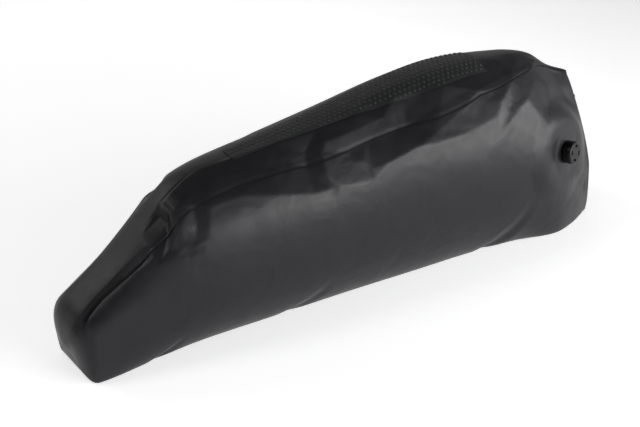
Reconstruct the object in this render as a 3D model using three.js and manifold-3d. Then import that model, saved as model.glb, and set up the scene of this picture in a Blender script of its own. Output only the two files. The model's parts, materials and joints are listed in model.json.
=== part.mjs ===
// A soft waterproof saddle bag for bikepacking, filled and closed, standing on its base.
// Millimetres. +X runs from the narrow nose to the wide mouth end, -Y is the side with the air valve,
// +Z is up.
// The bag is one smooth form of two parameters: a share along its length and a share around its girth.
// The coated panels are thin shells of that form, lapped over each other where they are welded.
import * as THREE from "three";
import { mergeVertices } from "three/addons/utils/BufferGeometryUtils.js";
import Module from "manifold-3d";

// Overall sizes of the filled bag.
const LENGTH = 545;
const WIDTH = 130;
const HEIGHT = 190;

// Cloth and welds.
const WALL = 1.2;
const CLEARANCE = 0.3;
const LAP = 5;
const GRIP_THICKNESS = 0.8;
const GRIP_START = 165;
const GRIP_LENGTH = 258;

// Rounding and leaning of the two ends.
const NOSE_ROUNDING = 15;
const NOSE_LEAN = 5;
const REAR_ROUNDING = 9;
const REAR_LEAN = 4.3;
const REAR_LEAN_REACH = 80;

// Flattened mouth in the middle of the rear face, and its roll.
const MOUTH_REACH = 6;
const MOUTH_THICKNESS = 3.4;
const MOUTH_SHRINK = 0.36;
const ROLL_LENGTH = 96;
const ROLL_WIDTH = 27;
const ROLL_THICKNESS = 8;
const ROLL_HEIGHT = 62;
const ROLL_OFFSET = 10;
const ROLL_LAYER = 1.5;

// Air valve.
const VALVE_TURN = 22;
const VALVE_TILT = 9;
const VALVE_FLANGE_DIAMETER = 36;
const VALVE_FLANGE_THICKNESS = 1.6;
const VALVE_FLAT_MARGIN = 8;
const VALVE_NECK_DIAMETER = 15;
const VALVE_NECK_HEIGHT = 2.4;
const VALVE_STEM_DIAMETER = 7;
const VALVE_STEM_HEIGHT = 3.6;
const CAP_DIAMETER = 21.4;
const CAP_HEIGHT = 9.2;
const CAP_EDGE = 1.2;
const SLOT_LENGTH = 4.4;
const SLOT_WIDTH = 1.9;
const SLOT_DEPTH = 1.6;
const SLOT_RADIUS = 6.6;
const SLOT_COUNT = 4;

// Rows of numbers become rows with named columns.
const rowOf = (columns, row) => Object.fromEntries(columns.map((name, at) => [name, row[at]]));
const tableOf = (columns, rows) => rows.map((row) => rowOf(columns, row));

// Sections across the bag from nose to rear. "along" is a share of LENGTH; base and belly are half widths as
// shares of half of WIDTH; bellyHeight and crown are shares of HEIGHT; squareness is the upper superellipse's
// power; seam and grip say where the edges of the top panel and the grip strip lie, as shares of the upper
// turn.
const SECTION_COLUMNS = ["along", "base", "belly", "bellyHeight", "crown", "squareness", "seam", "grip"];
const SECTIONS = tableOf(SECTION_COLUMNS, [
  [0.000, 0.46, 0.51, 0.14, 0.290, 3.20, 0.70, 0.92],
  [0.050, 0.46, 0.56, 0.17, 0.390, 3.00, 0.76, 0.93],
  [0.100, 0.40, 0.62, 0.20, 0.495, 2.80, 0.74, 0.93],
  [0.150, 0.31, 0.68, 0.25, 0.628, 2.60, 0.71, 0.93],
  [0.200, 0.24, 0.75, 0.30, 0.762, 2.40, 0.66, 0.93],
  [0.250, 0.23, 0.80, 0.34, 0.820, 2.30, 0.62, 0.93],
  [0.340, 0.26, 0.86, 0.37, 0.852, 2.30, 0.62, 0.92],
  [0.490, 0.31, 0.92, 0.40, 0.905, 2.30, 0.57, 0.86],
  [0.620, 0.39, 0.97, 0.42, 0.955, 2.30, 0.54, 0.81],
  [0.720, 0.44, 1.00, 0.42, 0.972, 2.20, 0.53, 0.76],
  [0.820, 0.56, 1.00, 0.39, 0.945, 2.00, 0.68, 0.80],
  [0.900, 0.78, 0.93, 0.32, 0.896, 1.75, 0.80, 0.90],
  [0.950, 0.70, 0.78, 0.28, 0.802, 1.50, 0.84, 0.92],
  [1.000, 0.50, 0.56, 0.26, 0.737, 1.34, 0.86, 0.93],
]);

// Places around the girth, as shares from the base's middle (0) to the crown (1).
const AROUND = { floor: 0.14, belly: 0.34, seam: 0.66, grip: 0.86 };

// Folds of the near side: a valley (or a ridge, where deep is negative) from one place to another. Places
// are shares along and around; widths are shares of half of WIDTH and depths shares of HEIGHT at the two ends;
// lean says how far the bottom of the fold sits toward one flank, from -1 to 1.
const FOLD_COLUMNS = [
  "fromAlong", "fromAround", "toAlong", "toAround", "fromWidth", "toWidth", "fromDeep", "toDeep", "lean",
];
const FOLDS = tableOf(FOLD_COLUMNS, [
  // Groove over the welded edge of the nose.
  [0.000, 0.700, 0.120, 0.730, 0.12, 0.12, 0.020, 0.024, 0.3],
  // Pinched knob above the nose, and the recess before it.
  [0.192, 0.900, 0.199, 0.600, 0.22, 0.14, -0.020, -0.026, 0.2],
  [0.180, 0.860, 0.172, 0.600, 0.18, 0.12, 0.036, 0.028, -0.2],
  // The welded seam holds the cloth in between the nose and the rear.
  [0.270, 0.700, 0.400, 0.700, 0.20, 0.34, 0.008, 0.024, 0.0],
  [0.460, 0.680, 0.580, 0.690, 0.30, 0.34, 0.018, 0.028, 0.0],
  // Three dents along the welded edge.
  [0.411, 0.760, 0.439, 0.545, 0.30, 0.08, 0.034, 0.008, 0.2],
  [0.500, 0.680, 0.511, 0.516, 0.24, 0.10, 0.014, 0.006, 0.3],
  [0.602, 0.860, 0.640, 0.610, 0.52, 0.30, 0.034, 0.026, 0.1],
  // Folds of the slack cloth above the valve.
  [0.736, 0.690, 0.716, 0.580, 0.20, 0.10, 0.022, 0.008, 0.2],
  [0.825, 0.650, 0.770, 0.540, 0.18, 0.10, 0.018, 0.008, 0.2],
  [0.940, 0.530, 0.960, 0.640, 0.26, 0.20, 0.020, 0.008, 0.0],
  // Small pleats at the edge of the base.
  [0.130, 0.190, 0.165, 0.260, 0.10, 0.06, 0.016, 0.004, 0.0],
  [0.365, 0.180, 0.430, 0.260, 0.12, 0.08, 0.014, 0.004, 0.0],
  [0.755, 0.175, 0.830, 0.290, 0.14, 0.08, 0.020, 0.004, 0.0],
]);
// The far side, out of sight, has a few of the same kind of dents.
const FAR_FOLDS = tableOf(FOLD_COLUMNS, [
  [0.185, 0.840, 0.215, 0.560, 0.24, 0.12, 0.026, 0.010, 0.2],
  [0.360, 0.740, 0.400, 0.500, 0.34, 0.10, 0.036, 0.010, -0.3],
  [0.575, 0.780, 0.600, 0.520, 0.40, 0.10, 0.038, 0.012, 0.3],
  [0.770, 0.700, 0.740, 0.460, 0.30, 0.12, 0.034, 0.010, 0.0],
  [0.920, 0.580, 0.860, 0.360, 0.24, 0.12, 0.026, 0.008, 0.0],
]);
const VALVE_PLACE = { along: 0.917, around: 0.429 };

// Length of a share of 1 around, from the base's middle to the crown, where folds and laps are measured.
const aroundLength = 1.2 * HEIGHT;
const mouthShare = MOUTH_REACH / LENGTH;
const rearSlope = Math.tan(THREE.MathUtils.degToRad(REAR_LEAN));
const clamp01 = (v) => Math.min(1, Math.max(0, v));
const smooth = (v) => clamp01(v) ** 2 * (3 - 2 * clamp01(v));
const QUARTER_TURN = Math.PI / 2;

// Section values at a share along, by cubic pieces whose slopes are those of the neighbouring rows.
function rowSlope(index, column) {
  const before = SECTIONS[Math.max(0, index - 1)];
  const after = SECTIONS[Math.min(SECTIONS.length - 1, index + 1)];
  return (after[column] - before[column]) / (after.along - before.along);
}
function sectionAt(along) {
  let index = SECTIONS.length - 2;
  while (index > 0 && SECTIONS[index].along > along) index -= 1;
  const [left, right] = [SECTIONS[index], SECTIONS[index + 1]];
  const step = right.along - left.along;
  const u = clamp01((along - left.along) / step);
  const section = {};
  for (const column of SECTION_COLUMNS) {
    const [leftSlope, rightSlope] = [rowSlope(index, column) * step, rowSlope(index + 1, column) * step];
    section[column] = (2 * u ** 3 - 3 * u ** 2 + 1) * left[column] + (u ** 3 - 2 * u ** 2 + u) * leftSlope
      + (3 * u ** 2 - 2 * u ** 3) * right[column] + (u ** 3 - u ** 2) * rightSlope;
  }
  return section;
}

// How far a section is drawn in toward its middle near a rounded end, by a superellipse quarter.
function drawnIn(distance, rounding) {
  const t = clamp01(1 - distance / rounding);
  return (1 - t ** 2.6) ** (1 / 2.6);
}

// Share of the upper turn for a place around: the belly, the seam and the grip strip's edge keep their own
// lines.
function upperTurn(around, section) {
  const part = (from, to) => (around - from) / (to - from);
  if (around < AROUND.seam) return section.seam * part(AROUND.belly, AROUND.seam);
  if (around < AROUND.grip) {
    return section.seam + (section.grip - section.seam) * part(AROUND.seam, AROUND.grip);
  }
  return section.grip + (1 - section.grip) * part(AROUND.grip, 1);
}

// The taut form before its folds. around runs from -1 (crown by the far side) over 0 (base) to 1 (crown by
// the near side).
function tautPoint(along, around) {
  const section = sectionAt(along);
  const base = section.base * WIDTH / 2;
  const belly = section.belly * WIDTH / 2;
  const bellyHeight = section.bellyHeight * HEIGHT;
  const crown = section.crown * HEIGHT;
  const place = Math.abs(around);
  let across = base * place / AROUND.floor;
  let height = 0;
  if (place >= AROUND.belly) {
    const turn = clamp01(upperTurn(place, section)) * QUARTER_TURN;
    across = belly * Math.max(0, Math.cos(turn)) ** (2 / section.squareness);
    height = bellyHeight + (crown - bellyHeight) * Math.sin(turn) ** (2 / section.squareness);
  } else if (place > AROUND.floor) {
    const turn = (place - AROUND.floor) / (AROUND.belly - AROUND.floor) * QUARTER_TURN;
    across = base + (belly - base) * Math.sin(turn);
    height = bellyHeight * (1 - Math.cos(turn));
  }
  const fromNose = along * LENGTH;
  const fromRear = Math.max(0, 1 - along) * LENGTH;
  const drawn = drawnIn(fromNose, NOSE_ROUNDING);
  const noseLean = NOSE_LEAN * (1 - height / (crown || 1)) * clamp01(1 - fromNose / (4 * NOSE_ROUNDING));
  // Past the rear edge the cloth comes together to the flattened mouth.
  const toMouth = clamp01((along - 1) / mouthShare);
  const gathered = drawnIn((1 - toMouth) * MOUTH_REACH, MOUTH_REACH);
  const mouthAcross = MOUTH_THICKNESS / 2 * (across / belly) ** 0.6;
  const up = crown / 2 + (height - crown / 2) * drawn * (1 - MOUTH_SHRINK * toMouth);
  const rearLean = rearSlope * up * clamp01(1 - fromRear / REAR_LEAN_REACH);
  return new THREE.Vector3(
    (Math.min(along, 1) - 0.5) * LENGTH + toMouth * MOUTH_REACH + noseLean - rearLean,
    -Math.sign(around) * (mouthAcross + (across * drawn - mouthAcross) * gathered),
    up,
  );
}

// Depth of the folds at a place: along each fold's line the depth and width run from end to end, across it
// the flanks are straight, so that a fold reads as crisp facets.
function foldDepth(along, around) {
  const folds = around >= 0 ? FOLDS : FAR_FOLDS;
  const place = Math.abs(around);
  let total = 0;
  for (const fold of folds) {
    const runX = (fold.toAlong - fold.fromAlong) * LENGTH;
    const runY = (fold.toAround - fold.fromAround) * aroundLength;
    const offX = (along - fold.fromAlong) * LENGTH;
    const offY = (place - fold.fromAround) * aroundLength;
    const run = Math.hypot(runX, runY);
    const share = (offX * runX + offY * runY) / (run * run);
    const inner = clamp01(share);
    const width = (fold.fromWidth + (fold.toWidth - fold.fromWidth) * inner) * WIDTH / 2;
    const deep = (fold.fromDeep + (fold.toDeep - fold.fromDeep) * inner) * HEIGHT;
    const beyond = Math.max(0, Math.abs(share - 0.5) - 0.5) * run;
    const side = (offX * runY - offY * runX) / run;
    const flank = width * (side > 0 ? 1 + 0.7 * fold.lean : 1 - 0.7 * fold.lean);
    total += deep * Math.max(0, 1 - Math.hypot(side / flank, beyond / width));
  }
  return total;
}

function tautNormal(along, around) {
  const step = 1e-3;
  const a = Math.min(1 + mouthShare - 2 * step, Math.max(2 * step, along));
  const b = Math.abs(around) > 1 - 2 * step ? Math.sign(around) * (1 - 2 * step) : around;
  const alongRun = tautPoint(a + step, b).sub(tautPoint(a - step, b));
  const aroundRun = tautPoint(a, b + step).sub(tautPoint(a, b - step));
  return alongRun.cross(aroundRun).normalize();
}

const valveAxis = new THREE.Vector3(
  Math.sin(THREE.MathUtils.degToRad(VALVE_TURN)) * Math.cos(THREE.MathUtils.degToRad(VALVE_TILT)),
  -Math.cos(THREE.MathUtils.degToRad(VALVE_TURN)) * Math.cos(THREE.MathUtils.degToRad(VALVE_TILT)),
  Math.sin(THREE.MathUtils.degToRad(VALVE_TILT)),
);
const valveCentre = tautPoint(VALVE_PLACE.along, VALVE_PLACE.around);

// The folded form: the taut form let in by its folds, flat round the valve, and flat where it stands.
function clothPoint(along, around) {
  const point = tautPoint(along, around);
  const ends = smooth(along * LENGTH / NOSE_ROUNDING) * smooth((1 - along) * LENGTH / REAR_ROUNDING);
  point.addScaledVector(tautNormal(along, around), -foldDepth(along, around) * ends);
  const away = point.clone().sub(valveCentre);
  const proud = away.dot(valveAxis);
  const radius = away.addScaledVector(valveAxis, -proud).length();
  const flatRadius = VALVE_FLANGE_DIAMETER / 2 + VALVE_FLAT_MARGIN;
  const flatShare = 1 - smooth((radius - flatRadius) / flatRadius);
  if (around > 0) point.addScaledVector(valveAxis, -proud * flatShare);
  point.z = Math.max(0, point.z);
  return point;
}

// Rows along and columns around. The lap's rows and columns are lines of the grid, so lapped cloths lie
// parallel.
const lapAround = LAP / aroundLength;
const gripFrom = GRIP_START / LENGTH;
const gripTo = (GRIP_START + GRIP_LENGTH) / LENGTH;
const evenly = (from, to, count) => Array.from(
  { length: count },
  (_, index) => from + (to - from) * index / count,
);
const noseRows = [0, 0.03, 0.12, 0.30, 0.55].map((share) => share * NOSE_ROUNDING / LENGTH);
const noseEdge = NOSE_ROUNDING / LENGTH;
const rearEdge = 1 - REAR_ROUNDING / LENGTH;
const rearRows = [0, 0.3, 0.6, 0.8, 0.92, 0.98, 1].map((share) => 1 + share * mouthShare);
const rows = [
  ...noseRows,
  ...evenly(noseEdge, gripFrom, 16),
  ...evenly(gripFrom, gripTo, 20),
  ...evenly(gripTo, rearEdge, 10),
  rearEdge,
  ...rearRows,
];
const sideColumns = [
  ...evenly(0, AROUND.floor, 2),
  ...evenly(AROUND.floor, AROUND.belly, 3),
  ...evenly(AROUND.belly, AROUND.seam, 7),
  ...evenly(AROUND.seam, AROUND.seam + lapAround, 1),
  ...evenly(AROUND.seam + lapAround, AROUND.grip, 3),
  ...evenly(AROUND.grip, 1, 3),
];
const columns = [...sideColumns.slice(1).map((around) => -around).reverse(), ...sideColumns, 1];
const columnCount = columns.length;
const rowCount = rows.length;
const isPole = (row) => row === 0;

// Outer face of the bottom layer of cloth, and its normals from the surrounding facets.
const skin = rows.map((along) => columns.map((around) => clothPoint(along, around)));
const next = (column) => (column + 1) % columnCount;
const skinNormals = rows.map(() => columns.map(() => new THREE.Vector3()));
for (let row = 0; row + 1 < rowCount; row += 1) {
  for (let column = 0; column < columnCount; column += 1) {
    const diagonal = skin[row + 1][next(column)].clone().sub(skin[row][column]);
    const crossing = skin[row][next(column)].clone().sub(skin[row + 1][column]);
    const facet = diagonal.cross(crossing);
    for (const r of [row, row + 1]) for (const c of [column, next(column)]) skinNormals[r][c].add(facet);
  }
}
const noseNormal = new THREE.Vector3();
skinNormals[0].forEach((normal) => noseNormal.add(normal));
skinNormals[0].forEach((normal) => normal.copy(noseNormal));
skinNormals.forEach((line) => line.forEach((normal) => normal.normalize()));

// A closed shell over the cells that keep(row, column) picks, between two distances from the skin.
function shell(keep, inner, outer) {
  const positions = [];
  const indices = [];
  for (const distance of [outer, inner]) {
    for (let row = 0; row < rowCount; row += 1) {
      for (let column = 0; column < columnCount; column += 1) {
        const place = skin[row][column].clone().addScaledVector(skinNormals[row][column], distance);
        positions.push(place.x, place.y, Math.max(0, place.z));
      }
    }
  }
  const layer = rowCount * columnCount;
  const vertex = (row, column, under) => {
    const corner = isPole(row) ? row * columnCount : row * columnCount + (column + columnCount) % columnCount;
    return corner + (under ? layer : 0);
  };
  const kept = (row, column) => row >= 0 && row + 1 < rowCount
    && keep(row, (column + columnCount) % columnCount);
  const face = (a, b, c) => {
    if (a !== b && b !== c && c !== a) indices.push(a, b, c);
  };
  for (let row = 0; row + 1 < rowCount; row += 1) {
    for (let column = 0; column < columnCount; column += 1) {
      if (!kept(row, column)) continue;
      const corners = (under) => [
        vertex(row, column, under), vertex(row + 1, column, under),
        vertex(row + 1, column + 1, under), vertex(row, column + 1, under),
      ];
      const [a, b, c, d] = corners(false);
      const [e, f, g, h] = corners(true);
      face(a, b, c);
      face(a, c, d);
      face(e, g, f);
      face(e, h, g);
      const wall = (p, q, under, underNext) => {
        face(p, q, underNext);
        face(p, underNext, under);
      };
      if (!kept(row - 1, column) && !isPole(row)) wall(a, d, e, h);
      if (!kept(row + 1, column) && !isPole(row + 1)) wall(c, b, g, f);
      if (!kept(row, column - 1)) wall(b, a, f, e);
      if (!kept(row, column + 1)) wall(d, c, h, g);
    }
  }
  const geometry = new THREE.BufferGeometry();
  geometry.setAttribute("position", new THREE.Float32BufferAttribute(positions, 3));
  geometry.setIndex(indices);
  return compact(geometry);
}

// Merges corners that coincide, and leaves out corners and faces that this makes idle.
function compact(geometry) {
  const bare = geometry.clone();
  bare.deleteAttribute("normal");
  bare.deleteAttribute("uv");
  const merged = mergeVertices(bare, 1e-4);
  const old = merged.getAttribute("position");
  const corners = merged.getIndex().array;
  const places = new Map();
  const positions = [];
  const indices = [];
  const placeOf = (corner) => {
    if (!places.has(corner)) {
      places.set(corner, positions.length / 3);
      positions.push(old.getX(corner), old.getY(corner), old.getZ(corner));
    }
    return places.get(corner);
  };
  for (let index = 0; index < corners.length; index += 3) {
    const [a, b, c] = corners.slice(index, index + 3);
    if (a !== b && b !== c && c !== a) indices.push(placeOf(a), placeOf(b), placeOf(c));
  }
  const clean = new THREE.BufferGeometry();
  clean.setAttribute("position", new THREE.Float32BufferAttribute(positions, 3));
  clean.setIndex(indices);
  clean.computeVertexNormals();
  return clean;
}

// Solids for cutting and back again.
const wasm = await Module();
wasm.setup();
function toSolid(geometry) {
  const closed = compact(geometry);
  return new wasm.Manifold(new wasm.Mesh({
    numProp: 3,
    vertProperties: Float32Array.from(closed.getAttribute("position").array),
    triVerts: Uint32Array.from(closed.getIndex().array),
  }));
}
function toGeometry(solid) {
  const mesh = solid.getMesh();
  const geometry = new THREE.BufferGeometry();
  geometry.setAttribute("position", new THREE.Float32BufferAttribute(mesh.vertProperties, 3));
  geometry.setIndex(Array.from(mesh.triVerts));
  geometry.computeVertexNormals();
  return geometry;
}

// The valve's own frame: its axis along the geometry's +Z, its seat on the cloth's outer face at z = 0.
const valveTurn = new THREE.Quaternion().setFromUnitVectors(new THREE.Vector3(0, 0, 1), valveAxis);
const valvePlace = new THREE.Matrix4().compose(valveCentre, valveTurn, new THREE.Vector3(1, 1, 1));
function lathe(profile, segments) {
  const outline = profile.map(([radius, height]) => new THREE.Vector2(radius, height));
  const geometry = new THREE.LatheGeometry(outline, segments);
  geometry.rotateX(QUARTER_TURN);
  return compact(geometry);
}

// Panels.
const seamIn = (around) => Math.abs(around) >= AROUND.seam - 1e-9;
const cellAround = (column) => {
  const from = columns[column];
  const to = column + 1 < columnCount ? columns[column + 1] : 1;
  return Math.abs((from + to) / 2);
};
const cellAlong = (row) => (rows[row] + rows[row + 1]) / 2;
const holeStart = noseEdge;
const holeEnd = rearEdge;
const topStart = noseRows[3];
const topEnd = rearRows[2];
const inHole = (row, column) => cellAlong(row) > holeStart && cellAlong(row) < holeEnd
  && cellAround(column) > AROUND.seam + lapAround;
const inTop = (row, column) => cellAlong(row) > topStart && cellAlong(row) < topEnd
  && seamIn(cellAround(column));
const inGrip = (row, column) => cellAlong(row) > gripFrom && cellAlong(row) < gripTo
  && cellAround(column) > AROUND.grip;

const holeRadius = VALVE_NECK_DIAMETER / 2 + CLEARANCE;
const holeReach = VALVE_NECK_DIAMETER;
const neckHole = lathe([
  [0, -holeReach], [holeRadius, -holeReach], [holeRadius, holeReach], [0, holeReach],
], 28);
neckHole.applyMatrix4(valvePlace);
const bodyShell = toSolid(shell((row, column) => !inHole(row, column), -WALL, 0));
const bodyGeometry = toGeometry(bodyShell.subtract(toSolid(neckHole)));
const topGeometry = shell(inTop, CLEARANCE, CLEARANCE + WALL);
const gripFloor = WALL + 2 * CLEARANCE;
const gripGeometry = shell(inGrip, gripFloor, gripFloor + GRIP_THICKNESS);

// Valve base: a flange welded under the cloth, a neck through its hole and a stem that carries the cap.
const flangeTop = -WALL - CLEARANCE;
const stemTop = VALVE_NECK_HEIGHT + VALVE_STEM_HEIGHT;
const valveBaseGeometry = lathe([
  [0, flangeTop - VALVE_FLANGE_THICKNESS], [VALVE_FLANGE_DIAMETER / 2, flangeTop - VALVE_FLANGE_THICKNESS],
  [VALVE_FLANGE_DIAMETER / 2, flangeTop], [VALVE_NECK_DIAMETER / 2, flangeTop],
  [VALVE_NECK_DIAMETER / 2, VALVE_NECK_HEIGHT], [VALVE_STEM_DIAMETER / 2, VALVE_NECK_HEIGHT],
  [VALVE_STEM_DIAMETER / 2, stemTop], [0, stemTop],
], 28);
valveBaseGeometry.applyMatrix4(valvePlace);

// Valve cap: a turned knob with a socket for neck and stem, and four short slots in its face.
const capFloor = 2 * CLEARANCE;
const capTop = capFloor + CAP_HEIGHT;
const capProfile = [
  [VALVE_NECK_DIAMETER / 2 + CLEARANCE, capFloor], [CAP_DIAMETER / 2, capFloor],
  [CAP_DIAMETER / 2, capTop - CAP_EDGE], [CAP_DIAMETER / 2 - CAP_EDGE, capTop], [0, capTop],
  [0, stemTop + CLEARANCE], [VALVE_STEM_DIAMETER / 2 + CLEARANCE, stemTop + CLEARANCE],
  [VALVE_STEM_DIAMETER / 2 + CLEARANCE, VALVE_NECK_HEIGHT + CLEARANCE],
  [VALVE_NECK_DIAMETER / 2 + CLEARANCE, VALVE_NECK_HEIGHT + CLEARANCE],
  [VALVE_NECK_DIAMETER / 2 + CLEARANCE, capFloor],
];
let capSolid = toSolid(lathe(capProfile, 30));
for (let slot = 0; slot < SLOT_COUNT; slot += 1) {
  const cutter = new THREE.BoxGeometry(SLOT_LENGTH, SLOT_WIDTH, 2 * SLOT_DEPTH);
  cutter.translate(0, SLOT_RADIUS, capTop);
  cutter.rotateZ(slot * 2 * Math.PI / SLOT_COUNT);
  capSolid = capSolid.subtract(toSolid(cutter));
}
const capGeometry = toGeometry(capSolid);
capGeometry.applyMatrix4(valvePlace);

// Rolled mouth: a flat coil of doubled cloth, standing against the rear face.
function rollOutline() {
  const shape = new THREE.Shape();
  const [halfWidth, half] = [ROLL_WIDTH / 2, ROLL_THICKNESS / 2];
  const straight = halfWidth - half;
  const bends = 10;
  shape.moveTo(-half, -straight);
  for (let bend = 0; bend <= bends; bend += 1) {
    const turn = Math.PI + Math.PI * bend / bends;
    shape.lineTo(half * Math.cos(turn), -straight + half * Math.sin(turn));
  }
  for (let bend = 0; bend <= bends; bend += 1) {
    const turn = Math.PI * bend / bends;
    shape.lineTo(half * Math.cos(turn), straight + half * Math.sin(turn));
  }
  // The free end of the cloth shows as a step along one flat.
  shape.lineTo(-half, straight * 0.4);
  shape.lineTo(-half + ROLL_LAYER, straight * 0.4 - ROLL_LAYER);
  shape.lineTo(-half + ROLL_LAYER, -straight * 0.9);
  shape.closePath();
  return shape;
}
const rollGeometry = new THREE.ExtrudeGeometry(rollOutline(), {
  depth: ROLL_LENGTH, bevelEnabled: false, steps: 1,
});
const mouthX = LENGTH / 2 + MOUTH_REACH;
rollGeometry.rotateZ(Math.PI);
rollGeometry.translate(CLEARANCE + ROLL_THICKNESS / 2, ROLL_OFFSET, -ROLL_LENGTH / 2);
rollGeometry.rotateY(-THREE.MathUtils.degToRad(REAR_LEAN));
rollGeometry.translate(mouthX - rearSlope * ROLL_HEIGHT, 0, ROLL_HEIGHT);

const coatedCloth = new THREE.MeshStandardMaterial({
  color: 0x2b2b2e, roughness: 0.55, metalness: 0, side: THREE.DoubleSide,
});
const topCloth = new THREE.MeshStandardMaterial({
  color: 0x28282b, roughness: 0.5, metalness: 0, side: THREE.DoubleSide,
});
const gripRubber = new THREE.MeshStandardMaterial({ color: 0x2d2e2e, roughness: 0.7, metalness: 0 });
const rolledCloth = new THREE.MeshStandardMaterial({ color: 0x2a2a2d, roughness: 0.55, metalness: 0 });
const valvePlastic = new THREE.MeshStandardMaterial({ color: 0x151517, roughness: 0.35, metalness: 0 });
const capPlastic = new THREE.MeshStandardMaterial({ color: 0x19191b, roughness: 0.3, metalness: 0 });

const bag = new THREE.Group();
for (const [name, geometry, material] of [
  ["body_panel", bodyGeometry, coatedCloth],
  ["top_panel", topGeometry, topCloth],
  ["grip_strip", gripGeometry, gripRubber],
  ["mouth_roll", rollGeometry, rolledCloth],
  ["valve_base", valveBaseGeometry, valvePlastic],
  ["valve_cap", capGeometry, capPlastic],
]) {
  const mesh = new THREE.Mesh(geometry, material);
  mesh.name = name;
  bag.add(mesh);
}

// The origin is the middle of the bag's footprint box, on the surface that it stands on.
const box = new THREE.Box3().setFromObject(bag);
bag.position.set(-(box.min.x + box.max.x) / 2, -(box.min.y + box.max.y) / 2, -box.min.z);
bag.updateMatrixWorld(true);

export default bag;
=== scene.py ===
import json
import math

import bpy
import numpy as np
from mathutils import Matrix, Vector
from mathutils.geometry import delaunay_2d_cdt


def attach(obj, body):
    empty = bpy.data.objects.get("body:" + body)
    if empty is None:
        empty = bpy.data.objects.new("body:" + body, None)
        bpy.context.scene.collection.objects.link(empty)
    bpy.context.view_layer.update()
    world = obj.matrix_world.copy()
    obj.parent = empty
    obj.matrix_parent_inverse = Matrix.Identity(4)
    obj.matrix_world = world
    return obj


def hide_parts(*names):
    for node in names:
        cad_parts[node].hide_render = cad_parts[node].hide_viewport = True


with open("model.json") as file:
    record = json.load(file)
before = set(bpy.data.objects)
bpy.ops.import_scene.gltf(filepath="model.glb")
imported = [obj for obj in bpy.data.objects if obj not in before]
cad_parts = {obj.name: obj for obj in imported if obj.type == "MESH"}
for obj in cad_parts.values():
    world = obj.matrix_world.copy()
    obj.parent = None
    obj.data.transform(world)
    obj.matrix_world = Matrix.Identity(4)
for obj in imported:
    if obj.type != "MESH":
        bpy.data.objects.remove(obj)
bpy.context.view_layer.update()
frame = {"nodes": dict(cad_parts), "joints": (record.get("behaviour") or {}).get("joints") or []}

# Body panel: the sides, base, nose and rear face of the filled bag, one skin of nylon coated on both faces.
# It is cut flat, welded to the top panel along the upper seam and blown taut by what fills it, so it bulges,
# with crisp dents where the seam holds it back. Lengths are millimetres until a mesh is made.
LENGTH = 545
WIDTH = 130
HEIGHT = 190
WALL = 1.2
CLEARANCE = 0.3
LAP = 5
ROUNDING_POWER = 2.6
NOSE_ROUNDING = 15
NOSE_LEAN = 5
NOSE_LEAN_REACH = 60
REAR_ROUNDING = 9
REAR_SLOPE = math.tan(math.radians(4.3))
REAR_LEAN_REACH = 80
MOUTH_REACH = 6
MOUTH_THICKNESS = 3.4
MOUTH_TAPER = 0.6
MOUTH_SHRINK = 0.36

# Sections from nose to rear: share along, half widths of base and belly as shares of half of WIDTH, height of
# the belly and of the crown as shares of HEIGHT, power of the upper superellipse, and where the top panel's
# edge and the grip strip's edge lie on the upper turn.
SECTION_COLUMNS = ("along", "base", "belly", "belly_height", "crown", "squareness", "seam", "grip")
SECTIONS = np.array([
    (0.000, 0.46, 0.51, 0.14, 0.290, 3.20, 0.70, 0.92),
    (0.050, 0.46, 0.56, 0.17, 0.390, 3.00, 0.76, 0.93),
    (0.100, 0.40, 0.62, 0.20, 0.495, 2.80, 0.74, 0.93),
    (0.150, 0.31, 0.68, 0.25, 0.628, 2.60, 0.71, 0.93),
    (0.200, 0.24, 0.75, 0.30, 0.762, 2.40, 0.66, 0.93),
    (0.250, 0.23, 0.80, 0.34, 0.820, 2.30, 0.62, 0.93),
    (0.340, 0.26, 0.86, 0.37, 0.852, 2.30, 0.62, 0.92),
    (0.490, 0.31, 0.92, 0.40, 0.905, 2.30, 0.57, 0.86),
    (0.620, 0.39, 0.97, 0.42, 0.955, 2.30, 0.54, 0.81),
    (0.720, 0.44, 1.00, 0.42, 0.972, 2.20, 0.53, 0.76),
    (0.820, 0.56, 1.00, 0.39, 0.945, 2.00, 0.68, 0.80),
    (0.900, 0.78, 0.93, 0.32, 0.896, 1.75, 0.80, 0.90),
    (0.950, 0.70, 0.78, 0.28, 0.802, 1.50, 0.84, 0.92),
    (1.000, 0.50, 0.56, 0.26, 0.737, 1.34, 0.86, 0.93),
])
# Places round the girth, as shares from the middle of the base (0) to the crown (1).
FLOOR, BELLY, SEAM, GRIP = 0.14, 0.34, 0.66, 0.86
MOUTH_SHARE = MOUTH_REACH / LENGTH


def smooth(value):
    """0 to 1 with level ends: 3 v squared less 2 v cubed."""
    v = np.clip(value, 0, 1)
    return v * v * (3 - 2 * v)


def section_at(along):
    """Each section value at the shares along: cubics between rows, with slopes from the neighbouring rows."""
    at = SECTIONS[:, 0]
    row = np.clip(np.searchsorted(at, along, side="right") - 1, 0, len(at) - 2)
    step = at[row + 1] - at[row]
    u = np.clip((along - at[row]) / step, 0, 1)
    found = {}
    for name, values in zip(SECTION_COLUMNS[1:], SECTIONS.T[1:]):
        padded = np.r_[values[:1], values, values[-1:]]
        places = np.r_[at[:1], at, at[-1:]]
        slope = (padded[2:] - padded[:-2]) / (places[2:] - places[:-2])
        found[name] = (
            (2 * u**3 - 3 * u**2 + 1) * values[row]
            + (u**3 - 2 * u**2 + u) * slope[row] * step
            + (3 * u**2 - 2 * u**3) * values[row + 1]
            + (u**3 - u**2) * slope[row + 1] * step
        )
    return found


def drawn_in(distance, rounding):
    """How wide a section stays near a rounded end: a quarter of a superellipse."""
    t = np.clip(1 - distance / rounding, 0, 1)
    return (1 - t**ROUNDING_POWER) ** (1 / ROUNDING_POWER)


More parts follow.
